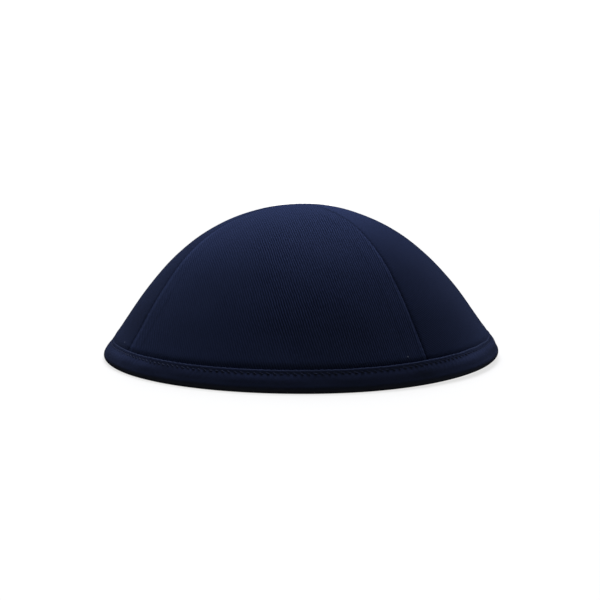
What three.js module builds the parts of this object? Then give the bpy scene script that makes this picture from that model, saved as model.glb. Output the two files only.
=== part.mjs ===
// A cloth kippah: a dome sewn from four gores, its lower edge held in a folded binding.
// Millimetres, +Z up, the rim standing on z = 0 around the origin, and the front towards -Y.
// Azimuths are in degrees in the tables and radians in the code, and turn from the front towards +X.
// "Down" is a distance from the apex along the dome's outer profile, and "depth" is measured inwards from
// the dome's outer face.

import * as THREE from 'three';
import { mergeGeometries, mergeVertices } from 'three/addons/utils/BufferGeometryUtils.js';

// The dome's outer profile, from the apex down: two arcs, a straight skirt, a short tuck where the binding's
// stitching draws the cloth in, and the band inside the binding. A lean is an angle from the vertical.
const CROWN_HEIGHT = 64.2;
const CAP_RADIUS = 79.2;
const CAP_SWEEP = 48.1;
const SHOULDER_RADIUS = 164;
const SHOULDER_SWEEP = 7.7;
const SKIRT_LENGTH = 13.4;
const TUCK_LENGTH = 2.4;
const TUCK_LEAN = 9.8;
const BAND_LENGTH = 6.4;
const BAND_LEAN = 32;

// Four gores pull the dome a little square towards its top, with the corners on the seams.
const SQUARENESS = 0.036;

// The rim lifts off the table in one low wave on the +X side.
const LIFT = { height: 1.9, azimuth: 87, halfWidth: 77 };

// Cloth. Both allowances of a seam are turned in and pressed to one side of it, where they make the gore's
// wall thicker.
const WALL = 1.4;
const GAP = 0.3;
const EDGE_ROLL = 1.6;
const TIP_RADIUS = 0.5;
const ALLOWANCE = { width: 7, thickness: 1.2, lowest: 13, fade: 3 };

// Binding: a strip folded round the crown's edge, an outer and an inner leg, with a flat foot to stand on.
const LEG = 0.9;
const OUTER_LEG_LENGTH = 5.8;
const INNER_LEG_LENGTH = 5.3;
const FOOT_WIDTH = 1.8;
const SLOT_RADIUS = WALL / 2 + GAP;
const FOLD_RADIUS = SLOT_RADIUS + LEG;

// One row for each seam: where it meets the rim, and how far it has swung round by the apex.
const SEAMS = {
  front_left: { azimuth: -55.6, swing: -7 },
  front_right: { azimuth: 34.6, swing: 1 },
  back_right: { azimuth: 124.4, swing: 0 },
  back_left: { azimuth: 214.4, swing: 0 },
};

// One row for each gore, with the seams on its two sides, and whether the allowances lie under it.
const PANELS = [
  { name: 'crown_panel_front', from: 'front_left', to: 'front_right', allowances: true },
  { name: 'crown_panel_right', from: 'front_right', to: 'back_right', allowances: false },
  { name: 'crown_panel_back', from: 'back_right', to: 'back_left', allowances: true },
  { name: 'crown_panel_left', from: 'back_left', to: 'front_left', allowances: false },
];

// Facets.
const PANEL_COLUMNS = 16;
const DOME_ROWS = 17;
const BINDING_COLUMNS = 84;
const ARC_FACETS = 2;

const radians = THREE.MathUtils.degToRad;
const { euclideanModulo, smoothstep } = THREE.MathUtils;
const FULL_TURN = 2 * Math.PI;

// ---------- the dome's surface

// Unit vectors in the plane of the profile, where x is radius and y is height.
const downAt = (lean) => new THREE.Vector2(Math.sin(lean), -Math.cos(lean));
const downBand = downAt(radians(BAND_LEAN));
const outOfBand = new THREE.Vector2(-downBand.y, downBand.x);

function domeProfile() {
  const path = new THREE.Path();
  const capCentre = CROWN_HEIGHT - CAP_RADIUS;
  const capEnd = radians(90 - CAP_SWEEP);
  const shoulderEnd = capEnd - radians(SHOULDER_SWEEP);
  const centreShift = CAP_RADIUS - SHOULDER_RADIUS;
  path.moveTo(0, CROWN_HEIGHT);
  path.absarc(0, capCentre, CAP_RADIUS, Math.PI / 2, capEnd, true);
  path.absarc(
    centreShift * Math.cos(capEnd),
    capCentre + centreShift * Math.sin(capEnd),
    SHOULDER_RADIUS,
    capEnd,
    shoulderEnd,
    true,
  );
  const straights = [
    { lean: shoulderEnd, length: SKIRT_LENGTH },
    { lean: radians(TUCK_LEAN), length: TUCK_LENGTH },
    { lean: radians(BAND_LEAN), length: BAND_LENGTH },
  ];
  straights.forEach(({ lean, length }) => {
    const end = path.currentPoint.clone().addScaledVector(downAt(lean), length);
    path.lineTo(end.x, end.y);
  });
  return path;
}

const profile = domeProfile();
const profileLength = profile.getLength();

// Radius and height, for a distance down the profile and a depth below the outer face.
function section(down, depth) {
  const along = profile.getTangent(down / profileLength);
  const inwards = new THREE.Vector2(along.y, -along.x);
  return profile.getPoint(down / profileLength).addScaledVector(inwards, depth);
}

// The factor on the radius that makes a ring a little square.
function squareFactor(azimuth, height) {
  const fromSeam = azimuth - radians(SEAMS.front_left.azimuth);
  return 1 + SQUARENESS * (height / CROWN_HEIGHT) * Math.cos(4 * fromSeam);
}

// How far the rim's wave raises a point. It fades out towards the apex.
function liftAt(azimuth, height) {
  const turn = euclideanModulo(azimuth - radians(LIFT.azimuth) + Math.PI, FULL_TURN) - Math.PI;
  const share = Math.min(Math.abs(turn) / radians(LIFT.halfWidth), 1);
  const wave = Math.cos(share * Math.PI / 2) ** 2;
  return LIFT.height * wave * (1 - height / CROWN_HEIGHT);
}

// The place of a point on a ring of the given radius and height.
function placed(azimuth, ring) {
  const radius = ring.x * squareFactor(azimuth, ring.y);
  const height = ring.y + liftAt(azimuth, ring.y);
  return new THREE.Vector3(radius * Math.sin(azimuth), -radius * Math.cos(azimuth), height);
}

// ---------- crown panels

// count + 1 evenly spaced places.
function evenly(start, end, count) {
  return Array.from({ length: count + 1 }, (_, i) => start + (end - start) * (i / count));
}

// The rows of a panel, as distances down: even ones from the tip to the skirt's end, then the tuck's end, and
// the start and end of the rolled lower edge.
function panelRows() {
  const tuckEnd = profileLength - BAND_LENGTH;
  return [
    ...evenly(TIP_RADIUS, tuckEnd - TUCK_LENGTH, DOME_ROWS),
    tuckEnd,
    profileLength - EDGE_ROLL,
    profileLength,
  ];
}

// The columns of a panel, as distances across it. The first and last are its rolled edges.
function panelColumns(width) {
  const edge = Math.min(EDGE_ROLL, width / PANEL_COLUMNS);
  return [0, ...evenly(edge, width - edge, PANEL_COLUMNS - 2), width];
}

function seamAzimuth(name, height) {
  const seam = SEAMS[name];
  return radians(seam.azimuth + seam.swing * (height / CROWN_HEIGHT) ** 3);
}

// The azimuth where a panel starts and how far round it goes, half a gap inside its seams.
function panelSpan(panel, ring) {
  const halfGap = Math.asin(GAP / 2 / ring.x);
  const from = seamAzimuth(panel.from, ring.y);
  const to = seamAzimuth(panel.to, ring.y);
  return { start: from + halfGap, turn: euclideanModulo(to - from, FULL_TURN) - 2 * halfGap };
}

function innerDepth(panel, fromSeam, height) {
  if (!panel.allowances) return WALL;
  const nearSeam = 1 - smoothstep(fromSeam, ALLOWANCE.width, ALLOWANCE.width + ALLOWANCE.fade);
  const aboveBinding = smoothstep(height, ALLOWANCE.lowest, ALLOWANCE.lowest + ALLOWANCE.fade);
  return WALL + ALLOWANCE.thickness * nearSeam * aboveBinding;
}

// One face of a panel. Both faces meet half-way through the wall all round its edge, and at the tip.
function panelFace(panel, isInner) {
  const rows = panelRows();
  const lastRow = rows.length - 1;
  const geometry = new THREE.PlaneGeometry(1, 1, PANEL_COLUMNS, lastRow);
  const position = geometry.attributes.position;
  rows.forEach((down, row) => {
    const middle = section(down, WALL / 2);
    const span = panelSpan(panel, middle);
    const width = span.turn * middle.x;
    panelColumns(width).forEach((across, column) => {
      const onEdge = row === 0 || row === lastRow || column === 0 || column === PANEL_COLUMNS;
      const fromSeam = Math.min(across, width - across);
      const faceDepth = isInner ? innerDepth(panel, fromSeam, middle.y) : 0;
      const share = row === 0 ? 0.5 : across / width;
      const ring = section(down, onEdge ? WALL / 2 : faceDepth);
      const point = placed(span.start + share * span.turn, ring);
      position.setXYZ(row * (PANEL_COLUMNS + 1) + column, point.x, point.y, point.z);
    });
  });
  if (isInner) geometry.index.array.reverse();
  return geometry;
}

// A closed body: vertices in one place become one, and the flat triangles that this leaves are dropped.
function closed(faces) {
  const joined = mergeGeometries(faces);
  joined.deleteAttribute('normal');
  joined.deleteAttribute('uv');
  const merged = mergeVertices(joined);
  const kept = [];
  for (let i = 0; i < merged.index.count; i += 3) {
    const triangle = [0, 1, 2].map((corner) => merged.index.getX(i + corner));
    if (new Set(triangle).size === 3) kept.push(...triangle);
  }
  merged.setIndex(kept);
  merged.computeVertexNormals();
  return merged;
}

function crownPanel(panel) {
  const cloth = new THREE.MeshStandardMaterial({ color: 0x141b38, roughness: 0.92, metalness: 0 });
  const mesh = new THREE.Mesh(closed([panelFace(panel, false), panelFace(panel, true)]), cloth);
  mesh.name = panel.name;
  return mesh;
}

// ---------- rim binding

// The binding's section, in a frame at the fold's centre: x out of the band, y up it. It runs from the foot
// round the fold and up the outer leg, down and up the slot, and down the inner leg.
function bindingOutline() {
  const legMiddle = FOLD_RADIUS - LEG / 2;
  const footMiddle = 1.5 * Math.PI - radians(BAND_LEAN);
  const footHalfAngle = Math.asin(FOOT_WIDTH / 2 / FOLD_RADIUS);
  const path = new THREE.Path();
  path.absarc(0, 0, FOLD_RADIUS, footMiddle + footHalfAngle, FULL_TURN, false);
  path.absarc(legMiddle, OUTER_LEG_LENGTH, LEG / 2, 0, Math.PI, false);
  path.absarc(0, 0, SLOT_RADIUS, 0, Math.PI, true);
  path.absarc(-legMiddle, INNER_LEG_LENGTH, LEG / 2, 0, Math.PI, false);
  path.absarc(0, 0, FOLD_RADIUS, Math.PI, footMiddle - footHalfAngle, false);
  path.closePath();
  return path.getPoints(ARC_FACETS);
}

// The fold's centre: on the middle of the crown's wall, at the height that puts the foot on z = 0.
function foldCentre() {
  const height = Math.sqrt(FOLD_RADIUS ** 2 - (FOOT_WIDTH / 2) ** 2);
  const wallEnd = section(profileLength, WALL / 2);
  return wallEnd.addScaledVector(downBand, (wallEnd.y - height) / -downBand.y);
}

function rimBinding() {
  const centre = foldCentre();
  const outline = bindingOutline().map((point) => centre.clone()
    .addScaledVector(outOfBand, point.x)
    .addScaledVector(downBand, -point.y));
  const geometry = new THREE.LatheGeometry(outline, BINDING_COLUMNS);
  const position = geometry.attributes.position;
  for (let i = 0; i < position.count; i += 1) {
    const azimuth = Math.atan2(position.getX(i), position.getZ(i));
    const radius = Math.hypot(position.getX(i), position.getZ(i));
    const point = placed(azimuth, new THREE.Vector2(radius, position.getY(i)));
    position.setXYZ(i, point.x, point.y, point.z);
  }
  const cloth = new THREE.MeshStandardMaterial({ color: 0x121832, roughness: 0.88, metalness: 0 });
  const mesh = new THREE.Mesh(closed([geometry]), cloth);
  mesh.name = 'rim_binding';
  return mesh;
}

const crown = new THREE.Group();
PANELS.forEach((panel) => crown.add(crownPanel(panel)));

const kippah = new THREE.Group();
kippah.add(crown, rimBinding());

export default kippah;
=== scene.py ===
"""A cloth kippah: four sewn gores of twill, with a folded and stitched binding round the rim.

Metres, +Z up, the rim standing on z = 0 round the origin, the front towards -Y. Azimuths turn from the
front towards +X. "Down" is a distance from the apex along the dome, "across" one from a gore's left seam,
"depth" one inwards from the dome's outer face, and "share" a share of the way round the rim.
"""

import math

import bpy
import numpy as np
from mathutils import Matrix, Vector


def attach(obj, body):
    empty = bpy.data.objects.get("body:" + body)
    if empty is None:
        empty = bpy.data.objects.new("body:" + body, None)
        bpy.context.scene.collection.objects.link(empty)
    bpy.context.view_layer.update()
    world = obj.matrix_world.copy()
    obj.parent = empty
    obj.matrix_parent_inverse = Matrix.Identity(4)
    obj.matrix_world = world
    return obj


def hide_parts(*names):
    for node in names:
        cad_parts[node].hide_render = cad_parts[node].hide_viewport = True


MM = 0.001
TURN = 2 * math.pi

# ---------- the cap's sizes

# The dome's section from the apex down: two arcs, the cap and the shoulder, and three straights, the skirt,
# the tuck above the binding and the band inside it. A lean is an angle from upright. Below the skirt, the
# cloth turns each corner over CORNER_LENGTH.
CROWN_HEIGHT = 64.2 * MM
CAP_RADIUS, CAP_SWEEP = 79.2 * MM, math.radians(48.1)
SHOULDER_RADIUS, SHOULDER_SWEEP = 164 * MM, math.radians(7.7)
SKIRT_LENGTH = 13.4 * MM
TUCK_LENGTH, TUCK_LEAN = 2.0 * MM, math.radians(24)
BAND_LENGTH, BAND_LEAN = 6.4 * MM, math.radians(29)
CAP_LENGTH, SHOULDER_LENGTH = CAP_RADIUS * CAP_SWEEP, SHOULDER_RADIUS * SHOULDER_SWEEP
DOME_LENGTH = CAP_LENGTH + SHOULDER_LENGTH + SKIRT_LENGTH + TUCK_LENGTH + BAND_LENGTH
CORNER_LENGTH = 1.4 * MM
WALL = 1.4 * MM

# Higher up the dome is a little square, its corners at the seams, and the rim lifts off the table on one
# side.
SQUARENESS = 0.036
LIFT_HEIGHT, LIFT_AZIMUTH, LIFT_HALF_WIDTH = 1.9 * MM, math.radians(87), math.radians(77)

# One row for each seam: where it meets the rim, and how far it has swung round by the apex, in degrees.
# Where "spread" is higher, its ridge and worn line are that many times as wide.
SEAMS = {
    "front_left": {"azimuth": -55.6, "swing": -7, "spread": 1.7},
    "front_right": {"azimuth": 34.2, "swing": 1.6, "spread": 1.0},
    "back_right": {"azimuth": 124.4, "swing": 0, "spread": 1.0},
    "back_left": {"azimuth": 214.4, "swing": 0, "spread": 1.0},
}

# One row for each gore. Both allowances of a seam are pressed to the front or back gore, which stands a
# little higher there than the gore beside it.
GORES = [
    {"side": "front", "left": "front_left", "right": "front_right", "high": True},
    {"side": "right", "left": "front_right", "right": "back_right", "high": False},
    {"side": "back", "left": "back_right", "right": "back_left", "high": True},
    {"side": "left", "left": "back_left", "right": "front_left", "high": False},
]

# The crown's shallow dents and swellings, in degrees and millimetres: "out" is how far each stands out at
# its middle.
DENTS = [
    {"azimuth": -106, "down": 38, "out": 0.50, "reach": 13},
    {"azimuth": 132, "down": 19, "out": 0.45, "reach": 10},
    {"azimuth": 95, "down": 57, "out": -0.30, "reach": 9},
    {"azimuth": 92, "down": 84, "out": 0.50, "reach": 15},
    {"azimuth": -92, "down": 82, "out": 0.25, "reach": 20},
    {"azimuth": 4, "down": 76, "out": 0.80, "reach": 19},
]

# The cloth's own unevenness: height, length and seed of each kind of wave over the crown, and length and
# seed of the waves in the puckers, the strip's slack and its edges.
CROWN_WAVES = [(0.10 * MM, 46 * MM, 3), (0.04 * MM, 17 * MM, 5)]
PUCKER_WAVES = (30 * MM, 11)
STRIP_PUCKER_WAVES = (9 * MM, 21)
SLACK_WAVES = (21 * MM, 8)
STRIP_EDGE_WAVES = (14 * MM, 31)

# A crown seam. Neighbouring gores press into each other by SEAM_OVERLAP, EDGE_DEPTH below their outer
# faces, so no light passes. A gore's edges roll in over SEAM_ROLL, and are fully rolled for the last
# SEAM_OPENING. Its inner face follows INSIDE_SHARE of the outer one's relief.
SEAM_OVERLAP = 0.08 * MM
SEAM_OPENING = 0.13 * MM
SEAM_ROLL = 0.60 * MM
EDGE_DEPTH = 0.8 * WALL
INSIDE_SHARE = 0.3
STITCH = 2.4 * MM

# A seam's allowances inside a front or back gore. They end between these two heights above its lower edge.
ALLOWANCE_WIDTH = 7.0 * MM
ALLOWANCE_THICKNESS = 1.2 * MM
ALLOWANCE_EDGE = 0.12 * MM
ALLOWANCE_FOOT = (7.2 * MM, 9.2 * MM)

# The relief beside a seam, as heights and reaches: the puckers of its stitches, the ridge of the gore that
# stands higher and the dip of the other one, and the print of the allowances' edge. The ridge is worn low
# near the apex and full further down, and the other two grow over APEX_REACH.
PUCKER, PUCKER_REACH = 0.03 * MM, 2.2 * MM
RIDGE, RIDGE_REACH = 0.30 * MM, 1.7 * MM
RIDGE_START, RIDGE_FULL = 14 * MM, 42 * MM
DIP, DIP_REACH = 0.36 * MM, 1.0 * MM
PRINT = 0.11 * MM
PRINT_START, PRINT_END = ALLOWANCE_WIDTH - 0.3 * MM, ALLOWANCE_WIDTH + 1.1 * MM
APEX_SHARE, APEX_REACH = 0.3, 16 * MM

# Just above the binding the crown swells at the cap's two sides, and is pulled in at the front and back.
SIDE_SWELL, SIDE_SWELL_REACH = 0.28 * MM, 2.8 * MM
FRONT_PULL, FRONT_PULL_REACH = 0.08 * MM, 0.8 * MM

# The rim half-way up the binding's fold, and where its two sides start and are full, as shares of the
# radius.
RIM_RADIUS = 83.5 * MM
SIDE_START, SIDE_FULL = 0.6, 0.95

# The binding, in its own section: "out" from the middle of the crown's wall, "up" the band from the fold's
# centre.
FOLD_RADIUS = 1.9 * MM
FOOT_WIDTH = 1.8 * MM
SLOT = 1.0 * MM
LEG = 0.9 * MM
OUTER_LEG = 5.65 * MM
INNER_LEG = 5.2 * MM
STITCH_ROW = 4.55 * MM

# Where the binding's outer leg is folded wider, in degrees and millimetres.
WIDER_FOLDS = [
    {"azimuth": 50, "up": 0.95, "reach": 32},
    {"azimuth": -60, "up": 0.60, "reach": 18},
]

# At the cap's two sides the outer leg's edge is drawn in: this much beside the crown, and this much at its
# face. Where the rim lifts it is drawn in less, and the fold lies further in.
LIP_IN_BESIDE, LIP_IN_FACE = 0.3 * MM, 0.7 * MM
LIFTED_START, LIFTED_FULL = 0.7, 0.97
LIFTED_LIP_LESS = 0.3
LIFTED_FOLD_IN, LIFTED_FOLD_START, LIFTED_FOLD_END = 0.50 * MM, 0.5 * MM, 3.5 * MM

# The relief of the binding's faces, as heights and reaches: the groove that the stitches pull and the
# puckers beside it, the padding under the face, the swell over a seam's allowances, its middle that far
# from the seam, and the strip's slack.
GROOVE, GROOVE_REACH = 0.06 * MM, 0.62 * MM
STRIP_PUCKER, STRIP_PUCKER_REACH = 0.07 * MM, 1.6 * MM
PADDING = 0.16 * MM
SEAM_SWELL, SEAM_SWELL_REACH, SEAM_SWELL_FULL = 0.25 * MM, 4.2 * MM, 3 * MM
ALLOWANCE_MIDDLE = 3.0 * MM
SLACK = 0.05 * MM

# The needle holes, slanting as the thread pulls them, and shallower by a share of HOLE_LESS at the two
# sides.
HOLE_DEPTH, HOLE_WIDTH, HOLE_HEIGHT, HOLE_SLANT = 0.18 * MM, 0.34 * MM, 0.50 * MM, 0.55
HOLE_LESS, HOLE_LESS_START, HOLE_LESS_FULL = 0.70, 0.35, 0.9

# The strip's folded edges: drawn down at each hole, and uneven by hand. Inside the slot the stitches
# squeeze it.
SCALLOP = 0.07 * MM
UNEVEN_EDGE = 0.10 * MM
SQUEEZE, SQUEEZE_REACH = 0.22 * MM, 1.4 * MM


# ---------- the dome's surface

def dome_table():
    """Distances down the dome, every twentieth of a millimetre, and the radius, height and slope at each."""
    straight = CAP_SWEEP + SHOULDER_SWEEP
    tuck, band = math.pi / 2 - TUCK_LEAN, math.pi / 2 - BAND_LEAN
    soft = CORNER_LENGTH
    skirt_end, tuck_middle = SKIRT_LENGTH - soft / 2, TUCK_LENGTH - soft
    lengths = [0, CAP_LENGTH, SHOULDER_LENGTH, skirt_end, soft, tuck_middle, soft, BAND_LENGTH]
    slopes = [0, CAP_SWEEP, straight, straight, tuck, tuck, band, band]
    ends = np.cumsum(lengths)
    down = np.arange(0, ends[-1], 0.05 * MM)
    slope = np.interp(down, ends, slopes)
    middle = (slope[1:] + slope[:-1]) / 2
    radius = np.concatenate([[0], np.cumsum(np.cos(middle) * np.diff(down))])
    height = CROWN_HEIGHT - np.concatenate([[0], np.cumsum(np.sin(middle) * np.diff(down))])
    return down, radius, height, slope


DOWN, RADIUS, HEIGHT, SLOPE = dome_table()


def section(down, depth):
    """Radius and height, for a distance down the dome and a depth below its outer face."""
    slope = np.interp(down, DOWN, SLOPE)
    radius = np.interp(down, DOWN, RADIUS) - depth * np.sin(slope)
    height = np.interp(down, DOWN, HEIGHT) - depth * np.cos(slope)
    return radius, height


def placed(azimuth, radius, height):
    """Points on rings of that radius and height, with the dome's squareness and the rim's lift."""
    share = height / CROWN_HEIGHT
    from_seam = azimuth - math.radians(SEAMS["front_left"]["azimuth"])
    squared = radius * (1 + SQUARENESS * share * np.cos(4 * from_seam))
    turn = away_from(azimuth, LIFT_AZIMUTH)
    wave = np.cos(np.minimum(np.abs(turn) / LIFT_HALF_WIDTH, 1) * math.pi / 2) ** 2
    lifted = height + LIFT_HEIGHT * wave * (1 - share)
    return np.stack([squared * np.sin(azimuth), -squared * np.cos(azimuth), lifted], axis=-1)


def away_from(azimuth, middle):
    """How far an azimuth turns away from another one, from minus half a turn to half a turn."""
    return (azimuth - middle + math.pi) % TURN - math.pi


def waves(points, length, seed):
    """Smooth uneven waves about that long, from about -1 to 1."""
    count = 9
    rng = np.random.default_rng(seed)
    directions = rng.normal(size=(count, 3))
    sizes = np.linalg.norm(directions, axis=1, keepdims=True)
    directions *= rng.uniform(0.6, 1.4, (count, 1)) * TURN / length / sizes
    phases = rng.uniform(0, TURN, count)
    return np.sin(points @ directions.T + phases).sum(axis=-1) / 4


def bump(distance, reach):
    """1 at a distance of 0, falling smoothly to 0 a few reaches away."""
    return np.exp(-((distance / reach) ** 2))


def step(value, start, end):
    """0 up to start, 1 from end, and smooth between them."""
    share = np.clip((value - start) / (end - start), 0, 1)
    return share * share * (3 - 2 * share)


# ---------- meshes

def pick(obj):
    """Makes obj the only selected and active object."""
    bpy.ops.object.select_all(action="DESELECT")
    obj.select_set(True)
    bpy.context.view_layer.objects.active = obj


def keep_map(obj, name, values):
    """A UV map of the piece's own, from a pair of numbers for each of its points."""
    layer = obj.data.uv_layers.get(name) or obj.data.uv_layers.new(name=name)
    corners = np.zeros(len(obj.data.loops), np.int32)
    obj.data.loops.foreach_get("vertex_index", corners)
    layer.data.foreach_set("uv", values.reshape(-1, 2)[corners].astype(np.float32).ravel())


def cloth_grid(name, points, cut, from_edge, flip=False):
    """A flat grid of cloth, moved point by point to its place. points is rows by columns by 3. cut holds
    the place of each point on the flat cloth, and from_edge its distance from the nearest sewn or folded
    edge, in metres."""
    rows, columns = points.shape[:2]
    bpy.ops.mesh.primitive_grid_add(x_subdivisions=columns - 1, y_subdivisions=rows - 1, size=0.1)
    obj = bpy.context.object
    obj.name = obj.data.name = name
    obj.data.vertices.foreach_set("co", points.astype(np.float32).ravel())
    obj.data.uv_layers[0].name = "cut"
    keep_map(obj, "cut", cut)
    keep_map(obj, "edge", np.stack([from_edge, 0 * from_edge], axis=-1))
    if flip:
        obj.data.flip_normals()
    obj.data.update()
    return obj


def sewn_together(objects, name):
    """One piece of several, with the points that lie in one place merged."""
    pick(objects[0])
    for obj in objects:
        obj.select_set(True)
    if len(objects) > 1:
        bpy.ops.object.join()
    obj = bpy.context.object
    obj.name = obj.data.name = name
    bpy.ops.object.mode_set(mode="EDIT")
    bpy.ops.mesh.select_all(action="SELECT")
    bpy.ops.mesh.remove_doubles(threshold=1e-6)
    bpy.ops.mesh.dissolve_degenerate(threshold=1e-7)
    bpy.ops.object.mode_set(mode="OBJECT")
    bpy.ops.object.shade_smooth()
    return obj


def finish_piece(obj, material, slot, *nodes):
    """Gives a piece its material and body, and hides the CAD nodes that it stands for. slot is not used."""
    obj.data.materials.clear()
    obj.data.materials.append(material)
    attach(obj, "root")
    if nodes:
        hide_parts(*nodes)


# ---------- crown

# Distances from a seam of a gore's closer columns of points: the roll of its edge, the ridge beside it, and
# the edge of the allowances. Near the apex they are squeezed into SEAM_COLUMNS_SHARE of the gore's width.
# TIP is the least radius there.
SEAM_COLUMNS = np.array([0, 0.15, 0.20, 0.28, 0.38, 0.50, 0.64, 0.85, 1.15, 1.6, 2.2, 3.0, 3.9, 4.9, 5.9,
                         6.6, 6.85, 7.0, 7.15, 7.5, 8.2, 9.2, 10.5]) * MM
SEAM_COLUMNS_SHARE = 0.36
MIDDLE_COLUMNS = 38
GORE_ROWS = 184
TIP = 0.08 * MM


def seam_azimuth(name, height):
    """Where a seam runs, at a height on the dome."""
    seam = SEAMS[name]
    return np.radians(seam["azimuth"] + seam["swing"] * (height / CROWN_HEIGHT) ** 3)


def gore_columns(width):
    """Distances across a gore of that width, from its left seam to its right one."""
    zone = SEAM_COLUMNS * min(1, SEAM_COLUMNS_SHARE * width / SEAM_COLUMNS[-1])
    middle = np.linspace(zone[-1], width - zone[-1], MIDDLE_COLUMNS)[1:-1]
    return np.concatenate([zone, middle, (width - zone)[::-1]])


def edge_roll(distance, radius):
    """How far a rolled edge falls away from the face, at a distance from the edge."""
    inside = np.clip(1 - distance / radius, 0, 1)
    return radius * (1 - np.sqrt(1 - inside ** 2))


def from_apex(down, start, full):
    """APEX_SHARE near the apex, growing to 1 further down."""
    return APEX_SHARE + (1 - APEX_SHARE) * step(down, start, full)


def crown_relief(points, down, seam, pressed, high):
    """How far the cloth's outer face stands out from the plain dome. seam is the distance from the nearest
    seam, and pressed the same distance, less where that seam's ridge is spread."""
    relief = sum(height * waves(points, length, seed) for height, length, seed in CROWN_WAVES)
    for row in DENTS:
        middle = placed(math.radians(row["azimuth"]), *section(np.float64(row["down"] * MM), 0))
        relief += row["out"] * MM * bump(np.linalg.norm(points - middle, axis=-1), row["reach"] * MM)
    puckers = np.sin(TURN * down / STITCH + 2 * waves(points, *PUCKER_WAVES))
    relief += PUCKER * puckers * bump(seam, PUCKER_REACH)
    strength = from_apex(down, 0, APEX_REACH)
    if high:
        relief += RIDGE * from_apex(down, RIDGE_START, RIDGE_FULL) * bump(pressed, RIDGE_REACH)
        relief += PRINT * strength * (1 - step(seam, PRINT_START, PRINT_END))
    else:
        relief -= DIP * strength * bump(seam, DIP_REACH)
    above_binding = np.clip(DOME_LENGTH - BAND_LENGTH - down, 0, None)
    side = step(np.abs(points[..., 0]) / RIM_RADIUS, SIDE_START, SIDE_FULL)
    relief += SIDE_SWELL * side * bump(above_binding, SIDE_SWELL_REACH)
    relief -= FRONT_PULL * (1 - side) * bump(above_binding, FRONT_PULL_REACH)
    return relief


def flat_place(sideways, down):
    """Where a point of a gore lies on the flat cloth, which wraps the dome as it would wrap a cone."""
    slope = np.interp(down, DOWN, SLOPE)
    cone = np.interp(down, DOWN, RADIUS) / np.cos(slope)
    turn = sideways / np.maximum(cone, TIP)
    return np.stack([cone * np.sin(turn), down - cone * (1 - np.cos(turn))], axis=-1)


def crown_gore(row, material):
    """One gore: its outer and its inner face, which meet all round its edge, EDGE_DEPTH into the cloth."""
    down = np.linspace(0, DOME_LENGTH, GORE_ROWS)[:, None]
    middle_radius, middle_height = section(down, EDGE_DEPTH)
    middle_radius = np.maximum(middle_radius, TIP)
    overlap = np.arcsin(np.minimum(SEAM_OVERLAP / 2 / middle_radius, 0.5))
    start = seam_azimuth(row["left"], middle_height) - overlap
    turn = (seam_azimuth(row["right"], middle_height) - start) % TURN + overlap
    width = turn * middle_radius
    across = np.stack([gore_columns(w) for w in width[:, 0]])
    azimuth = start + turn * across / width
    seam = np.minimum(across, width - across)
    left_spread, right_spread = SEAMS[row["left"]]["spread"], SEAMS[row["right"]]["spread"]
    pressed = np.minimum(across / left_spread, (width - across) / right_spread)
    down = np.broadcast_to(down, across.shape)
    cut = flat_place(across - width / 2, down)

    plain = placed(azimuth, *section(down, 0 * across))
    relief = crown_relief(plain, down, seam, pressed, row["high"])
    hem = DOME_LENGTH - down
    rolled = edge_roll(np.maximum(np.minimum(seam, hem) - SEAM_OPENING, 0), SEAM_ROLL)
    allowance = ALLOWANCE_THICKNESS if row["high"] else 0
    doubled = 1 - step(seam, ALLOWANCE_WIDTH - ALLOWANCE_EDGE, ALLOWANCE_WIDTH + ALLOWANCE_EDGE)
    doubled = doubled * step(hem, *ALLOWANCE_FOOT)
    outer_depth = rolled - relief
    inner_depth = WALL + allowance * doubled - INSIDE_SHARE * rolled - INSIDE_SHARE * relief

    on_edge = np.zeros(across.shape, bool)
    on_edge[[0, -1], :] = True
    on_edge[:, [0, -1]] = True
    outer_depth = np.where(on_edge, EDGE_DEPTH, outer_depth)
    inner_depth = np.where(on_edge, EDGE_DEPTH, inner_depth)
    name = "crown_" + row["side"]
    outside = cloth_grid(name, placed(azimuth, *section(down, outer_depth)), cut, pressed, flip=True)
    inside = cloth_grid(name + "_inside", placed(azimuth, *section(down, inner_depth)), cut, seam + WALL)
    gore = sewn_together([outside, inside], name)
    finish_piece(gore, material, "crown_cloth", "crown_panel_" + row["side"])


# ---------- binding

BINDING_STITCHES = 219
COLUMNS_A_STITCH = 7
PAST_BEND = 0.4 * MM
BEFORE_LIP = 0.3 * MM


def arc(centre_out, centre_up, radius, start, end, count):
    """Points of the section on an arc, its angles in degrees."""
    angles = np.radians(np.linspace(start, end, count))
    return np.stack([centre_out + radius * np.cos(angles), centre_up + radius * np.sin(angles)], axis=1)


def rise(out, start, end, count):
    """Points of the section on a straight stretch up or down the band."""
    return np.stack([np.full(count, out), np.linspace(start, end, count)], axis=1)


def binding_outline():
    """The strip's section, from the middle of its foot out and up the outer leg, down and up the slot, and
    down the inner leg. Its last point is its first. The points lie closer where the stitches go through."""
    foot = -90 - math.degrees(BAND_LEAN)
    middle = SLOT + LEG / 2
    parts = [
        arc(0, 0, FOLD_RADIUS, foot, 0, 9),
        rise(FOLD_RADIUS, PAST_BEND, 3.7 * MM, 6),
        rise(FOLD_RADIUS, 3.95 * MM, OUTER_LEG, 10),
        arc(middle, OUTER_LEG, LEG / 2, 15, 180, 9),
        rise(SLOT, OUTER_LEG - BEFORE_LIP, PAST_BEND, 3),
        arc(0, 0, SLOT, 0, -180, 5),
        rise(-SLOT, PAST_BEND, INNER_LEG - BEFORE_LIP, 3),
        arc(-middle, INNER_LEG, LEG / 2, 0, 180, 6),
        rise(-FOLD_RADIUS, INNER_LEG - 0.2 * MM, 3.4 * MM, 7),
        rise(-FOLD_RADIUS, 3.1 * MM, PAST_BEND, 3),
        arc(0, 0, FOLD_RADIUS, 180, 360 + foot, 4),
    ]
    return np.concatenate(parts)


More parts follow.
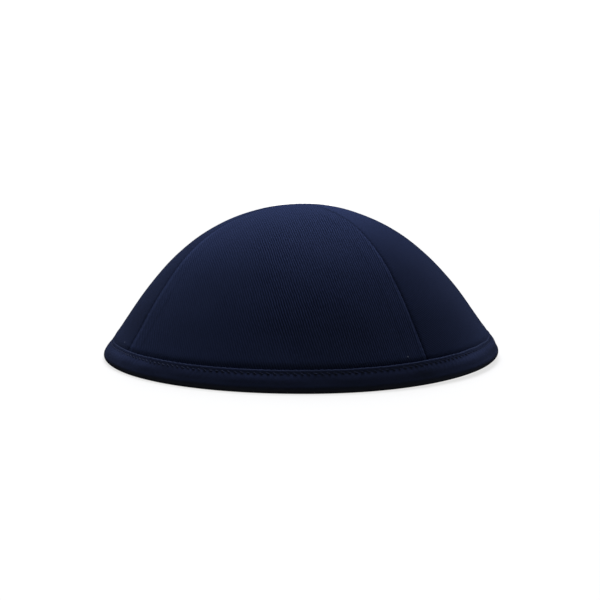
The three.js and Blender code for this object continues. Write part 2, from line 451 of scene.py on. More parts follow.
def fold_edge_place(outline, length):
    """How far along the strip's section its outer folded edge lies."""
    corner = (SLOT + LEG * 0.8, OUTER_LEG + LEG * 0.4)
    return length[np.argmin(np.linalg.norm(outline - corner, axis=1))]


def wider_fold(share):
    """How much further up the outer leg's edge and its stitches lie, round the rim."""
    wider = 0
    for row in WIDER_FOLDS:
        away = away_from(TURN * share, math.radians(row["azimuth"]))
        wider = wider + row["up"] * MM * bump(away, math.radians(row["reach"]))
    return wider


def binding_place(share, out, up):
    """Points of the binding, for a share of the way round the rim and a place in its section."""
    up = up + wider_fold(share) * np.clip(up / STITCH_ROW, 0, 1) * (out > 0)
    wall_radius, wall_height = section(DOME_LENGTH, WALL / 2)
    fold_height = math.sqrt(FOLD_RADIUS ** 2 - (FOOT_WIDTH / 2) ** 2)
    slide = (wall_height - fold_height) / math.cos(BAND_LEAN)
    centre = wall_radius + slide * math.sin(BAND_LEAN)
    radius = centre + out * math.cos(BAND_LEAN) - up * math.sin(BAND_LEAN)
    height = fold_height + out * math.sin(BAND_LEAN) + up * math.cos(BAND_LEAN)
    return placed(TURN * share, radius, np.maximum(height, 0))


def at_side(share, start=SIDE_START, full=SIDE_FULL):
    """1 at the cap's two sides, and 0 at its front and back."""
    return step(np.abs(np.sin(TURN * share)), start, full)


def drawn_in(share, out, up):
    """How far the binding lies further in than its plain section: the outer leg's edge at the cap's two
    sides, flush with the crown, and the fold where the rim lifts."""
    lifted = step(np.sin(TURN * share), LIFTED_START, LIFTED_FULL)
    face = np.clip((out - SLOT) / LEG, 0, 1)
    lip = LIP_IN_BESIDE + (LIP_IN_FACE - LIP_IN_BESIDE) * face
    lip = lip * at_side(share) * step(up, 0, OUTER_LEG) * (out > 0) * (1 - LIFTED_LIP_LESS * lifted)
    fold = np.sqrt(np.clip(out / FOLD_RADIUS, 0, 1)) * (1 - step(up, LIFTED_FOLD_START, LIFTED_FOLD_END))
    return lip + LIFTED_FOLD_IN * lifted * fold


def seam_swell(share):
    """1 where the binding passes over a seam's allowances, falling to 0 beside them."""
    swell = 0
    for gore in GORES:
        if gore["high"]:
            for seam, toward in ((gore["left"], 1), (gore["right"], -1)):
                middle = math.radians(SEAMS[seam]["azimuth"]) + toward * ALLOWANCE_MIDDLE / RIM_RADIUS
                swell = swell + bump(away_from(TURN * share, middle) * RIM_RADIUS, SEAM_SWELL_REACH)
    return swell


def stitch_level(out):
    """How far up the band the stitches lie, on the outer face where out is above 0, and else on the inner
    one."""
    return np.where(out > 0, STITCH_ROW, STITCH_ROW - (OUTER_LEG - INNER_LEG))


def on_rim(share, third):
    """Points on an upright ring as wide as the rim, for waves that run round it."""
    ring = np.stack([np.cos(TURN * share), np.sin(TURN * share), 0 * share], axis=-1) * RIM_RADIUS
    return ring + np.stack([0 * third, 0 * third, third], axis=-1)


def leg_relief(share, out, up, holes=True):
    """How far the faces of both legs stand out from the plain section: the groove and holes of the
    stitching, the puckers round it, the swell over the seams and the strip's slack."""
    side = np.sign(out)
    row = stitch_level(out)
    on_face = step(np.abs(out), SLOT + 0.5 * LEG, SLOT + 0.65 * LEG)
    above = up - row
    phase = share * BINDING_STITCHES
    points = on_rim(share, up)
    slack = waves(points, *SLACK_WAVES)
    groove = -GROOVE * bump(above, GROOVE_REACH)
    unevenness = 1 + 0.6 * waves(points, *STRIP_PUCKER_WAVES)
    puckers = -STRIP_PUCKER * np.cos(TURN * phase) * bump(above, STRIP_PUCKER_REACH) * unevenness
    padding = PADDING * np.sin(np.clip(up / row, 0, 1) * math.pi) ** 2 * (1 + 0.6 * slack)
    relief = groove + puckers + padding + SEAM_SWELL * seam_swell(share) * step(up, 0, SEAM_SWELL_FULL)
    if holes:
        hole = (phase + 0.5 - np.round(phase + 0.5)) * STITCH + side * HOLE_SLANT * above
        sunk = HOLE_DEPTH * (1 - HOLE_LESS * at_side(share, HOLE_LESS_START, HOLE_LESS_FULL))
        relief = relief - sunk * bump(hole, HOLE_WIDTH) * bump(above, HOLE_HEIGHT)
    return on_face * relief + SLACK * slack


def lip_scallop(share, out, up):
    """How far the strip's two folded edges are drawn down at the needle holes."""
    lip = np.where(out > 0, OUTER_LEG, INNER_LEG)
    near = step(up, lip - 0.6 * MM, lip + 0.1 * MM)
    scallop = SCALLOP * np.cos(TURN * share * BINDING_STITCHES)
    points = on_rim(share, np.sign(out) * RIM_RADIUS)
    return near * (scallop + UNEVEN_EDGE * waves(points, *STRIP_EDGE_WAVES))


def rim_binding(material):
    """The strip: one grid, its rows the points of the section and its columns evenly round the rim."""
    outline = binding_outline()
    columns = BINDING_STITCHES * COLUMNS_A_STITCH + 1
    share = np.broadcast_to(np.linspace(0, 1, columns)[None, :], (len(outline), columns))
    out = np.broadcast_to(outline[:, :1], share.shape)
    up = np.broadcast_to(outline[:, 1:], share.shape)
    length = np.concatenate([[0], np.cumsum(np.linalg.norm(np.diff(outline, axis=0), axis=1))])
    cut = np.stack([share * TURN * RIM_RADIUS, np.broadcast_to(length[:, None], share.shape)], axis=-1)
    slot_side = step(np.abs(out), SLOT - 0.1 * MM, SLOT) * (1 - step(np.abs(out), SLOT, SLOT + 0.2 * MM))
    squeezed = SQUEEZE * slot_side * bump(up - stitch_level(out), SQUEEZE_REACH)
    moved = out + np.sign(out) * (leg_relief(share, out, up) - squeezed)
    points = binding_place(share, moved - drawn_in(share, out, up), up + lip_scallop(share, out, up))
    points[-1] = points[0]
    points[:, -1] = points[:, 0]
    from_edge = np.abs(length - fold_edge_place(outline, length))[:, None] + 0 * share
    strip = sewn_together([cloth_grid("rim_binding_strip", points, cut, from_edge)], "rim_binding_strip")
    finish_piece(strip, material, "binding_cloth", "rim_binding")


# ---------- stitches

THREAD_RADIUS = 0.19 * MM
STRAND_LENGTH = 2.15 * MM
STRAND_SLANT, STRAND_SLANT_SPREAD = math.radians(24), 0.10
STRAND_SHIFT = 0.05 * MM

# A strand is cut at these shares of its length, so that its ends can turn down by STRAND_DIP.
STRAND_CUTS = (-0.46, -0.38, -0.26, 0, 0.26, 0.38, 0.46)
STRAND_DIP, STRAND_DIP_START, STRAND_DIP_END = 0.62 * MM, 0.22 * STRAND_LENGTH, 0.52 * STRAND_LENGTH

# How far a strand's middle stands out of the cloth, and how much less it does at the cap's two sides.
STRAND_OUT, STRAND_OUT_LESS = 0.5 * THREAD_RADIUS, 0.20 * MM


def straight_stitch():
    """One straight strand of thread along X, with the cuts that it bends at."""
    bpy.ops.mesh.primitive_cylinder_add(vertices=6, radius=THREAD_RADIUS, depth=STRAND_LENGTH,
                                        end_fill_type="NGON", rotation=(0, math.pi / 2, 0))
    obj = bpy.context.object
    bpy.ops.object.transform_apply(rotation=True)
    bpy.ops.object.mode_set(mode="EDIT")
    for place in STRAND_CUTS:
        bpy.ops.mesh.select_all(action="SELECT")
        bpy.ops.mesh.bisect(plane_co=(place * STRAND_LENGTH, 0, 0), plane_no=(1, 0, 0))
    bpy.ops.object.mode_set(mode="OBJECT")
    return obj


def stitch_row(name):
    """A straight row of as many stitches as go round the binding."""
    obj = straight_stitch()
    obj.name = obj.data.name = name
    pick(obj)
    row = obj.modifiers.new("row", "ARRAY")
    row.use_relative_offset = False
    row.use_constant_offset = True
    row.constant_offset_displace = (STITCH, 0, 0)
    row.count = BINDING_STITCHES
    bpy.ops.object.modifier_apply(modifier=row.name)
    bpy.ops.object.shade_smooth()
    return obj


def stitch_ring(name, side, material):
    """A row of stitches bent round one face of the binding: side is 1 for the outer face and -1 for the
    inner one. Each strand slants and lies a little differently, and its ends go down into the cloth."""
    obj = stitch_row(name)
    place = np.zeros(len(obj.data.vertices) * 3, np.float32)
    obj.data.vertices.foreach_get("co", place)
    place = place.reshape(-1, 3).astype(float)
    number = np.round(place[:, 0] / STITCH)
    along = place[:, 0] - number * STITCH
    rng = np.random.default_rng(40 + side)
    spread = rng.uniform(-STRAND_SLANT_SPREAD, STRAND_SLANT_SPREAD, BINDING_STITCHES)[number.astype(int)]
    slant = STRAND_SLANT + spread
    shift = rng.uniform(-STRAND_SHIFT, STRAND_SHIFT, (2, BINDING_STITCHES))[:, number.astype(int)]
    share = (number * STITCH + along * np.cos(slant) + shift[0]) / (BINDING_STITCHES * STITCH)
    level = stitch_level(side) + 0 * share
    up = level + place[:, 1] - side * along * np.sin(slant) + shift[1]
    face = side * FOLD_RADIUS + 0 * share
    dip = STRAND_DIP * step(np.abs(along), STRAND_DIP_START, STRAND_DIP_END)
    stands = leg_relief(share, face, level, holes=False) + STRAND_OUT - STRAND_OUT_LESS * at_side(share)
    out = face + side * (stands - dip + place[:, 2]) - drawn_in(share, face, level)
    obj.data.vertices.foreach_set("co", binding_place(share, out, up).astype(np.float32).ravel())
    if side < 0:
        obj.data.flip_normals()
    obj.data.update()
    finish_piece(obj, material, "binding_cloth")


# ---------- camera, floor and light

CAMERA_PLACE, CAMERA_TARGET = (-0.67 * MM, -377.2 * MM, 69.2 * MM), (-0.67 * MM, 0, 22.25 * MM)
CAMERA_LENS, CAMERA_SENSOR = 51.94, 36

# The camera sees a floor that glows white, with a soft shade under the rim. The cap is lit from below by a
# floor of another colour, without the glow.
FLOOR_SIZE = 8
FLOOR_COLOUR = (0.10, 0.10, 0.10)
FLOOR_GLOW = 0.731
FLOOR_BOUNCE = (0.195, 0.168, 0.105)

# Light from all round, and one row for each light in the sky, in degrees: a higher width is a narrower
# light.
AMBIENT = (0.011, 0.010, 0.006)
SKY_LIGHTS = [
    {"azimuth": 180, "height": 58, "width": 20, "colour": (35.6, 36.0, 37.2)},
    {"azimuth": -90, "height": 18, "width": 16, "colour": (0.17, 0.20, 0.28)},
    {"azimuth": 90, "height": 18, "width": 16, "colour": (0.185, 0.225, 0.30)},
    {"azimuth": 0, "height": 62, "width": 30, "colour": (0.32, 0.28, 0.16)},
    {"azimuth": -42, "height": 8, "width": 9, "colour": (0.024, 0.028, 0.036)},
    {"azimuth": 42, "height": 8, "width": 9, "colour": (0.029, 0.035, 0.045)},
]
BACKDROP = (1.3, 1.3, 1.3, 1)


def camera():
    """The camera, in front of the cap and a little above it."""
    data = bpy.data.cameras.new("camera")
    data.sensor_width, data.lens = CAMERA_SENSOR, CAMERA_LENS
    data.clip_start, data.clip_end = 0.01, 100
    obj = bpy.data.objects.new("camera", data)
    bpy.context.scene.collection.objects.link(obj)
    obj.location = CAMERA_PLACE
    obj.rotation_euler = (Vector(CAMERA_TARGET) - Vector(CAMERA_PLACE)).to_track_quat("-Z", "Y").to_euler()
    bpy.context.scene.camera = obj


def floor():
    """A plain pale floor at z = 0."""
    bpy.ops.mesh.primitive_plane_add(size=FLOOR_SIZE)
    obj = bpy.context.object
    obj.name = "floor"
    material, tree, shader = new_material("pale_floor")
    seen = node(tree, "ShaderNodeLightPath").outputs["Is Camera Ray"]
    wire(tree, blend(tree, seen, (*FLOOR_BOUNCE, 1), (*FLOOR_COLOUR, 1)), shader.inputs["Base Color"])
    shader.inputs["Roughness"].default_value = 1.0
    shader.inputs["Specular IOR Level"].default_value = 0.0
    shader.inputs["Emission Color"].default_value = (1, 1, 1, 1)
    wire(tree, times(tree, seen, FLOOR_GLOW), shader.inputs["Emission Strength"])
    obj.data.materials.append(material)


def sky_light(tree, row):
    """The light of one row, strongest towards its middle and falling off all round it."""
    azimuth, height = math.radians(row["azimuth"]), math.radians(row["height"])
    flat = math.cos(height)
    facing = node(tree, "ShaderNodeVectorMath", operation="DOT_PRODUCT")
    wire(tree, node(tree, "ShaderNodeTexCoord").outputs["Generated"], facing.inputs[0])
    wire(tree, (flat * math.sin(azimuth), -flat * math.cos(azimuth), math.sin(height)), facing.inputs[1])
    lobe = maths(tree, "POWER", maths(tree, "MAXIMUM", facing.outputs["Value"], 0.0), row["width"])
    scaled = node(tree, "ShaderNodeVectorMath", operation="SCALE")
    wire(tree, row["colour"], scaled.inputs[0])
    wire(tree, lobe, scaled.inputs["Scale"])
    return scaled.outputs["Vector"]


def surroundings():
    """A studio: soft light from high behind, a little from the sides and above, and a plain white
    backdrop."""
    world = bpy.data.worlds.new("studio")
    world.use_nodes = True
    bpy.context.scene.world = world
    tree = world.node_tree
    light = AMBIENT
    for row in SKY_LIGHTS:
        total = node(tree, "ShaderNodeVectorMath", operation="ADD")
        wire(tree, sky_light(tree, row), total.inputs[0])
        wire(tree, light, total.inputs[1])
        light = total.outputs["Vector"]
    seen = node(tree, "ShaderNodeLightPath").outputs["Is Camera Ray"]
    wire(tree, blend(tree, seen, light, BACKDROP), tree.nodes["Background"].inputs["Color"])


# ---------- materials

# Linear colours. A cloth's "rib" is its raised yarns and "groove" the painted shade between them, and
# "faded" where the dye is weaker. "painted_edge_line" is a painted line along its edges, of the strength
# "painted_edge_light", at the distance "edge_at" from them and over "edge_reach": a painted highlight
# beside the seams of the front and back gores, where their ridge catches the light, and on the strip a
# greyer, darker line that tones down the light on its fold. A painted shade "crease" wide darkens each
# edge's crease. Between the two distances down of "painted_edges_grow", the painted line grows to full
# and the crease narrows from "crease_at_apex"; on the strip the line is alike everywhere. Painted shades
# darken a side gore towards the rim ("rim_shade") and the binding at the cap's two sides ("side_shade"),
# and "foot_light" paints light from the table onto the binding's foot.
TWILL = {
    "groove": (0.0020, 0.0032, 0.0090, 1), "rib": (0.0196, 0.0285, 0.0750, 1),
    "faded": (0.0120, 0.0170, 0.0420, 1), "painted_edge_line": (0.0230, 0.0330, 0.0830, 1),
    "roughness": 0.85, "relief": 0.5, "depth": 0.12 * MM,
    "painted_edge_light": 0.44, "edge_at": 1.0 * MM, "edge_reach": 0.9 * MM,
    "crease": 0.45 * MM, "crease_at_apex": 1.9 * MM, "painted_edges_grow": (RIDGE_START, RIDGE_FULL),
    "rim_shade": 0.0, "side_shade": 0.0, "foot_light": 0.0,
}
STRIP = {
    "groove": (0.0093, 0.0131, 0.0340, 1), "rib": (0.0171, 0.0238, 0.0615, 1),
    "faded": (0.0125, 0.0169, 0.0375, 1), "painted_edge_line": (0.0128, 0.0170, 0.0300, 1),
    "roughness": 0.88, "relief": 0.4, "depth": 0.06 * MM,
    "painted_edge_light": 0.80, "edge_at": 0.0, "edge_reach": 0.42 * MM,
    "crease": 0.0, "crease_at_apex": 0.0, "painted_edges_grow": (-1.0, 0.0),
    "rim_shade": 0.0, "side_shade": 0.36, "foot_light": 0.8,
}

# The side gores are a shaded copy of the twill: as light as the front one at the apex, with painted shade
# darkening them towards the rim, less painted shade in their grooves and a wider one along their seams.
SIDE_TONE, SIDE_SOFTNESS = 1.05, 0.18
SIDE_EDGES = {"painted_edge_light": 0.0, "crease": 1.45 * MM, "crease_at_apex": 1.6 * MM, "rim_shade": 0.37}

# Where the painted shades and the painted light on the foot lie: two distances down a gore, two to the side
# of the cap's middle, and two along the strip's section from the middle of its foot. The colour below is
# light from the table, painted onto the binding's foot.
RIM_SHADE_PLACE = (8 * MM, 50 * MM)
SIDE_SHADE_PLACE = (66 * MM, 82 * MM)
FOOT_LIGHT_PLACE = (1.7 * MM, 3.9 * MM)
FOOT_LIGHT_COLOUR = (0.027, 0.033, 0.060, 1)
BLACK = (0, 0, 0, 1)

# How strong the painted edge line is at the apex, as a share of its full strength.
PAINTED_LINE_AT_APEX = 0.1
# How far the painted shade in an edge's crease darkens it towards the groove colour.
CREASE_SHADE = 0.85
FADE = 0.35
GROOVE_ROUGHNESS = 0.95
SHEEN, SHEEN_ROUGHNESS, SHEEN_TINT = 0.012, 0.5, (0.55, 0.65, 1.0, 1)

# The twill's ribs: their pitch, their lean in radians, how many pitches they wander, and the power that
# rounds them. YARN_PITCH is the yarns' spacing along a rib, as a share of the ribs' pitch, and between two
# yarns a rib is as low as YARN_GAP. Colour marks each rib unevenly, down to RIB_UNEVEN.
RIB_PITCH, RIB_LEAN, RIB_WANDER, RIB_ROUNDING = 0.88 * MM, 0.385, 0.9, 1.5
RIB_MEAN, RIB_UNEVEN = 0.44, 0.66
YARN_PITCH, YARN_GAP = 0.62, 0.62

# The ribs' colour stands out most from the painted shade in the grooves round one place on a gore's flat
# cloth, and less between these two distances from it. In patches it stands out less still.
CRISP_MIDDLE = (26 * MM, 61 * MM, 0)
CRISP_REACH, CRISPNESS = (16 * MM, 58 * MM), (1.4, 0.40)
PATCH_CRISPNESS = 0.78

# The strip's plain weave.
BIAS_PITCH, BIAS_WANDER, BIAS_UNEVEN = 0.33 * MM, 0.7, 0.6
DIAGONAL = 0.7071

# Lint lies on a few cells of a coarse pattern, as a speck in the middle of each.
LINT_CELLS, LINT_CHOSEN, LINT_EDGE = 75.0, (0.93, 0.94), (0.018, 0.030)
LINT_COLOUR, LINT_STRENGTH = (0.12, 0.14, 0.20, 1), 0.45

THREAD_DARK = (0.008, 0.011, 0.028, 1)
THREAD_LIGHT = (0.0140, 0.0196, 0.047, 1)
THREAD_FADED = (0.0150, 0.0205, 0.046, 1)
THREAD_FADE = 0.4
THREAD_TWIST = (2.0, 9.0)
THREAD_RELIEF, THREAD_DEPTH = 0.6, 0.05 * MM
THREAD_ROUGHNESS, THREAD_SPECULAR = 0.6, 0.02


def new_material(name):
    """A material, its node tree and its shader."""
    material = bpy.data.materials.new(name)
    material.use_nodes = True
    return material, material.node_tree, material.node_tree.nodes["Principled BSDF"]


def node(tree, kind, **settings):
    """A new node with those settings."""
    made = tree.nodes.new(kind)
    for setting, value in settings.items():
        setattr(made, setting, value)
    return made


def wire(tree, value, socket):
    """Puts a number, a colour or another node's output into a socket."""
    if isinstance(value, bpy.types.NodeSocket):
        tree.links.new(value, socket)
    else:
        socket.default_value = value


def maths(tree, operation, *values):
    """One operation on numbers and other nodes' outputs."""
    made = node(tree, "ShaderNodeMath", operation=operation)
    for value, socket in zip(values, made.inputs):
        wire(tree, value, socket)
    return made.outputs[0]


def times(tree, first, second):
    """The product of two numbers or outputs."""
    return maths(tree, "MULTIPLY", first, second)


def noise(tree, vector, scale, detail=2.0):
    """Smooth noise, mostly from 0.3 to 0.7."""
    made = node(tree, "ShaderNodeTexNoise")
    wire(tree, vector, made.inputs["Vector"])
    made.inputs["Scale"].default_value = scale
    made.inputs["Detail"].default_value = detail
    return made.outputs["Fac"]


def blend(tree, share, first, second):
    """The first colour where share is 0, and the second where it is 1."""
    made = node(tree, "ShaderNodeMix", data_type="RGBA")
    wire(tree, share, made.inputs["Factor"])
    wire(tree, first, made.inputs[6])
    wire(tree, second, made.inputs[7])
    return made.outputs[2]


def ranged(tree, value, start, end, low=0.0, high=1.0):
    """low where value is up to start, high from end, and smooth between them."""
    made = node(tree, "ShaderNodeMapRange", interpolation_type="SMOOTHSTEP")
    for number, given in enumerate((value, start, end, low, high)):
        wire(tree, given, made.inputs[number])
    return made.outputs[0]


def bumped(tree, height, strength, distance, shader):
    """Gives a shader the normal of a fine relief."""
    relief = node(tree, "ShaderNodeBump")
    relief.inputs["Strength"].default_value = strength
    relief.inputs["Distance"].default_value = distance
    wire(tree, height, relief.inputs["Height"])
    wire(tree, relief.outputs["Normal"], shader.inputs["Normal"])


def parted(tree, vector):
    """A vector's first two numbers."""
    made = node(tree, "ShaderNodeSeparateXYZ")
    wire(tree, vector, made.inputs[0])
    return made.outputs[0], made.outputs[1]


def joined(tree, x, y):
    """A vector of two numbers."""
    made = node(tree, "ShaderNodeCombineXYZ")
    wire(tree, x, made.inputs[0])
    wire(tree, y, made.inputs[1])
    return made.outputs[0]


def effect(name, inputs, outputs):
    """A node group: inputs is a table of names and starting values, a value of None being a vector."""
    tree = bpy.data.node_groups.new(name, "ShaderNodeTree")
    for label, value in inputs.items():
        kind = "NodeSocketVector" if value is None else "NodeSocketFloat"
        socket = tree.interface.new_socket(label, in_out="INPUT", socket_type=kind)
        if value is not None:
            socket.default_value = value
    for label in outputs:
        tree.interface.new_socket(label, in_out="OUTPUT", socket_type="NodeSocketFloat")
    return tree, node(tree, "NodeGroupInput").outputs, node(tree, "NodeGroupOutput").inputs


def use(tree, group, **values):
    """Places a node group, with its inputs given by name."""
    made = node(tree, "ShaderNodeGroup", node_tree=group)
    for label, value in values.items():
        wire(tree, value, made.inputs[label])
    return made.outputs


def twill_weave():
    """Slanting ribs. Cut is the place on the flat cloth, Pitch the ribs' spacing, and Lean their angle from
    the cloth's length. Height is the relief, and Rib is 0 in the grooves and 1 on the ribs."""
    start = {"Cut": None, "Pitch": RIB_PITCH, "Lean": RIB_LEAN}
    tree, given, result = effect("twill_weave", start, ("Height", "Rib"))
    x, y = parted(tree, given["Cut"])
    cosine, sine = maths(tree, "COSINE", given["Lean"]), maths(tree, "SINE", given["Lean"])
    over = maths(tree, "SUBTRACT", times(tree, x, cosine), times(tree, y, sine))
    along = maths(tree, "ADD", times(tree, x, sine), times(tree, y, cosine))
    wander = maths(tree, "SUBTRACT", noise(tree, given["Cut"], 160.0), 0.5)
    ribs = maths(tree, "ADD", maths(tree, "DIVIDE", over, given["Pitch"]), times(tree, wander, RIB_WANDER))
    yarns = maths(tree, "DIVIDE", along, times(tree, given["Pitch"], YARN_PITCH))

    rib = maths(tree, "SINE", times(tree, maths(tree, "FRACT", ribs), math.pi))
    twist = maths(tree, "SINE", times(tree, maths(tree, "ADD", yarns, times(tree, ribs, 0.5)), TURN))
    rounded = maths(tree, "POWER", rib, RIB_ROUNDING)
    raised = times(tree, rounded, ranged(tree, twist, -0.8, 0.8, YARN_GAP, 1.0))
    wire(tree, raised, result["Height"])

    away = node(tree, "ShaderNodeVectorMath", operation="DISTANCE")
    wire(tree, given["Cut"], away.inputs[0])
    wire(tree, CRISP_MIDDLE, away.inputs[1])
    # The painted shade in the grooves weakens away from that place, and in patches.
    pressed = ranged(tree, away.outputs["Value"], *CRISP_REACH, *CRISPNESS)
    patches = ranged(tree, noise(tree, given["Cut"], 36.0), 0.38, 0.60, PATCH_CRISPNESS, 1.0)
    uneven = noise(tree, joined(tree, ribs, times(tree, yarns, 0.22)), 1.7)
    marked = times(tree, raised, ranged(tree, uneven, 0.3, 0.7, RIB_UNEVEN, 1.0))
    over_mean = times(tree, maths(tree, "SUBTRACT", marked, RIB_MEAN), times(tree, pressed, patches))
    wire(tree, maths(tree, "ADD", over_mean, RIB_MEAN), result["Rib"])
    return tree


def plain_weave():
    """A fine plain weave laid at 45 degrees, as in a strip cut on the bias. Its sockets are the twill's."""
    tree, given, result = effect("plain_weave", {"Cut": None, "Pitch": BIAS_PITCH}, ("Height", "Rib"))
    x, y = parted(tree, given["Cut"])
    wander = times(tree, maths(tree, "SUBTRACT", noise(tree, given["Cut"], 300.0), 0.5), BIAS_WANDER)
    turned, yarns = [], []
    for kind in ("ADD", "SUBTRACT"):
        slanting = times(tree, maths(tree, kind, x, y), DIAGONAL)
        turned.append(maths(tree, "DIVIDE", slanting, given["Pitch"]))
        yarns.append(maths(tree, "SINE", times(tree, maths(tree, "ADD", turned[-1], wander), TURN)))
    checks = ranged(tree, times(tree, *yarns), -1.0, 1.0)
    wire(tree, checks, result["Height"])
    uneven = noise(tree, joined(tree, times(tree, turned[0], 0.2), turned[1]), 1.1)
    wire(tree, times(tree, checks, ranged(tree, uneven, 0.3, 0.7, BIAS_UNEVEN, 1.0)), result["Rib"])
    return tree


def dye_and_wear():
    """Fade is a broad unevenness of the dye from 0 to 1, and Lint is 1 on rare light specks of fluff. Place
    is in space, and Cut on the flat cloth."""
    tree, given, result = effect("dye_and_wear", {"Place": None, "Cut": None}, ("Fade", "Lint"))
    broad = noise(tree, given["Place"], 28.0, 3.0)
    fine = noise(tree, given["Place"], 420.0)
    mixed = maths(tree, "ADD", times(tree, broad, 0.7), times(tree, fine, 0.3))
    wire(tree, ranged(tree, mixed, 0.35, 0.65), result["Fade"])
    cells = node(tree, "ShaderNodeTexVoronoi", feature="F1", voronoi_dimensions="2D")
    wire(tree, given["Cut"], cells.inputs["Vector"])
    cells.inputs["Scale"].default_value = LINT_CELLS
    chosen, _ = parted(tree, cells.outputs["Color"])
    speck = ranged(tree, cells.outputs["Distance"], *LINT_EDGE, 1.0, 0.0)
    wire(tree, times(tree, ranged(tree, chosen, *LINT_CHOSEN), speck), result["Lint"])
    return tree


def painted_edge_light():
    """From is the distance from a sewn or folded edge. Painted_line is 1 on a painted line along it, at the
    distance At and that Reach to each side. Shade is 1 on the painted shade in the edge's own crease."""
    start = {"From": 0.0, "Place": None, "At": 0.0, "Reach": 0.4 * MM, "Crease": 0.3 * MM}
    tree, given, result = effect("painted_edge_light", start, ("Painted_line", "Shade"))
    away = maths(tree, "ABSOLUTE", maths(tree, "SUBTRACT", given["From"], given["At"]))
    line = ranged(tree, away, 0.0, given["Reach"], 1.0, 0.0)
    patchy = ranged(tree, noise(tree, given["Place"], 900.0), 0.3, 0.6, 0.55, 1.0)
    wire(tree, times(tree, line, patchy), result["Painted_line"])
    wire(tree, ranged(tree, given["From"], 0.0, given["Crease"], 1.0, 0.0), result["Shade"])
    return tree


def cloth_colour(tree, woven, worn, edges, look):
    """The colour of a cloth: its weave and faded dye, its painted shades and light, and the lint on it."""
    _, down = parted(tree, node(tree, "ShaderNodeUVMap", uv_map="cut").outputs["UV"])
    from_edge, _ = parted(tree, node(tree, "ShaderNodeUVMap", uv_map="edge").outputs["UV"])
    place = node(tree, "ShaderNodeTexCoord").outputs["Object"]
    # Painted shade in the grooves between the ribs.
    colour = blend(tree, woven["Rib"], look["groove"], look["rib"])
    colour = blend(tree, times(tree, worn["Fade"], FADE), colour, look["faded"])
    # Painted shade, darkening a side gore towards the rim.
    colour = blend(tree, ranged(tree, down, *RIM_SHADE_PLACE, 0.0, look["rim_shade"]), colour, BLACK)
    # Painted light from the table on the binding's foot.
    colour = blend(tree, ranged(tree, down, *FOOT_LIGHT_PLACE, look["foot_light"], 0.0), colour, FOOT_LIGHT_COLOUR)
    crease = ranged(tree, down, *look["painted_edges_grow"], look["crease_at_apex"], look["crease"])
    painted_line_place = {"At": look["edge_at"], "Reach": look["edge_reach"]}
    edge = use(tree, edges, From=from_edge, Place=place, Crease=crease, **painted_line_place)
    # Painted highlight by the gores' seams; a darker line dims the light on the binding's fold.
    painted_line_here = ranged(tree, down, *look["painted_edges_grow"], PAINTED_LINE_AT_APEX * look["painted_edge_light"], look["painted_edge_light"])
    colour = blend(tree, times(tree, edge["Painted_line"], painted_line_here), colour, look["painted_edge_line"])
    # Painted shade in each edge's crease.
    colour = blend(tree, times(tree, edge["Shade"], CREASE_SHADE), colour, look["groove"])
    # Painted shade, darkening the binding at the cap's two sides.
    sideways, _ = parted(tree, place)
    side = ranged(tree, maths(tree, "ABSOLUTE", sideways), *SIDE_SHADE_PLACE, 0.0, look["side_shade"])
    colour = blend(tree, side, colour, BLACK)
    return blend(tree, times(tree, worn["Lint"], LINT_STRENGTH), colour, LINT_COLOUR)


def cloth(name, weave, wear, edges, look):
    """A woven cloth. look is a table of its colours and finish."""
    material, tree, shader = new_material(name)
    cut = node(tree, "ShaderNodeUVMap", uv_map="cut").outputs["UV"]
    woven = use(tree, weave, Cut=cut)
    worn = use(tree, wear, Place=node(tree, "ShaderNodeTexCoord").outputs["Object"], Cut=cut)
    wire(tree, cloth_colour(tree, woven, worn, edges, look), shader.inputs["Base Color"])
    roughness = ranged(tree, woven["Rib"], 0.0, 1.0, GROOVE_ROUGHNESS, look["roughness"])
    wire(tree, roughness, shader.inputs["Roughness"])
    bumped(tree, woven["Height"], look["relief"], look["depth"], shader)
    shader.inputs["Specular IOR Level"].default_value = 0.0
    shader.inputs["Sheen Weight"].default_value = SHEEN
    shader.inputs["Sheen Roughness"].default_value = SHEEN_ROUGHNESS
    shader.inputs["Sheen Tint"].default_value = SHEEN_TINT
    return material


def toned(look, tone, softness, **edge_looks):
    """The same look with its colours made lighter or darker, its grooves nearer to its ribs, and its own
    edges."""
    rib, faded = (tuple(tone * c for c in look[key][:3]) for key in ("rib", "faded"))
    groove = tuple(tone * g + softness * (r - tone * g) for g, r in zip(look["groove"][:3], rib))
    rib = tuple(r - 0.5 * softness * r for r in rib)
    return {**look, "groove": (*groove, 1), "rib": (*rib, 1), "faded": (*faded, 1), **edge_looks}


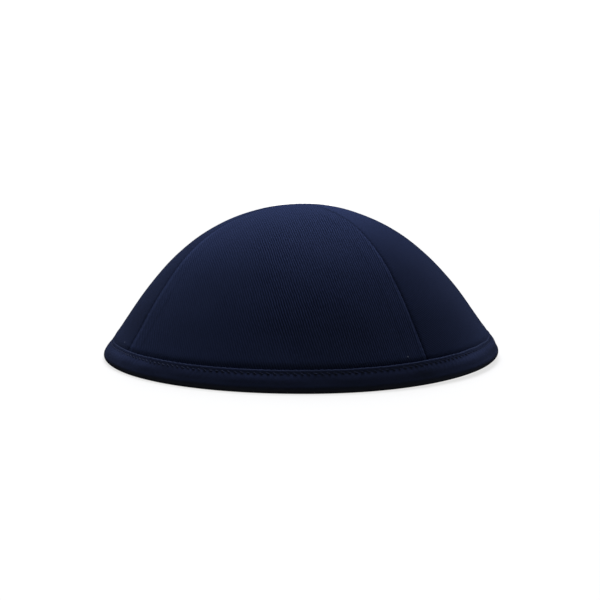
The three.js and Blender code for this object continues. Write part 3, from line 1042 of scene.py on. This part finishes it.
def thread(wear):
    """Two-ply sewing thread."""
    material, tree, shader = new_material("binding_thread")
    x, y = parted(tree, node(tree, "ShaderNodeUVMap", uv_map="UVMap").outputs["UV"])
    plies = maths(tree, "ADD", times(tree, x, THREAD_TWIST[0]), times(tree, y, THREAD_TWIST[1]))
    twist = ranged(tree, maths(tree, "SINE", times(tree, plies, TURN)), -1.0, 1.0)
    worn = use(tree, wear, Place=node(tree, "ShaderNodeTexCoord").outputs["Object"])
    colour = blend(tree, twist, THREAD_DARK, THREAD_LIGHT)
    colour = blend(tree, times(tree, worn["Fade"], THREAD_FADE), colour, THREAD_FADED)
    wire(tree, colour, shader.inputs["Base Color"])
    bumped(tree, twist, THREAD_RELIEF, THREAD_DEPTH, shader)
    shader.inputs["Roughness"].default_value = THREAD_ROUGHNESS
    shader.inputs["Specular IOR Level"].default_value = THREAD_SPECULAR
    return material


# ---------- the scene

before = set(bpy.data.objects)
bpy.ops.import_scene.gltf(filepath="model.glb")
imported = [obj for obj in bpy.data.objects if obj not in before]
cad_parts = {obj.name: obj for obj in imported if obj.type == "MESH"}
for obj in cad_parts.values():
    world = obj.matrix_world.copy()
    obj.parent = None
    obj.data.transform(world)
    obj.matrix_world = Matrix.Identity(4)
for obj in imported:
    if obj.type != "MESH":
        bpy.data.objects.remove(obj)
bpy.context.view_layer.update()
bpy.context.scene.view_settings.view_transform = "Standard"
camera()
floor()
surroundings()
wear = dye_and_wear()
edges = painted_edge_light()
twill = twill_weave()
# The side gores' look: a copy of the twill with painted shade.
side_look = toned(TWILL, SIDE_TONE, SIDE_SOFTNESS, **SIDE_EDGES)
high_twill = cloth("crown_twill", twill, wear, edges, TWILL)
side_twill = cloth("crown_twill_sides_shaded", twill, wear, edges, side_look)
binding_cloth = cloth("binding_cloth", plain_weave(), wear, edges, STRIP)
binding_thread = thread(wear)
for gore_row in GORES:
    crown_gore(gore_row, high_twill if gore_row["high"] else side_twill)
rim_binding(binding_cloth)
stitch_ring("stitches_outer", 1, binding_thread)
stitch_ring("stitches_inner", -1, binding_thread)
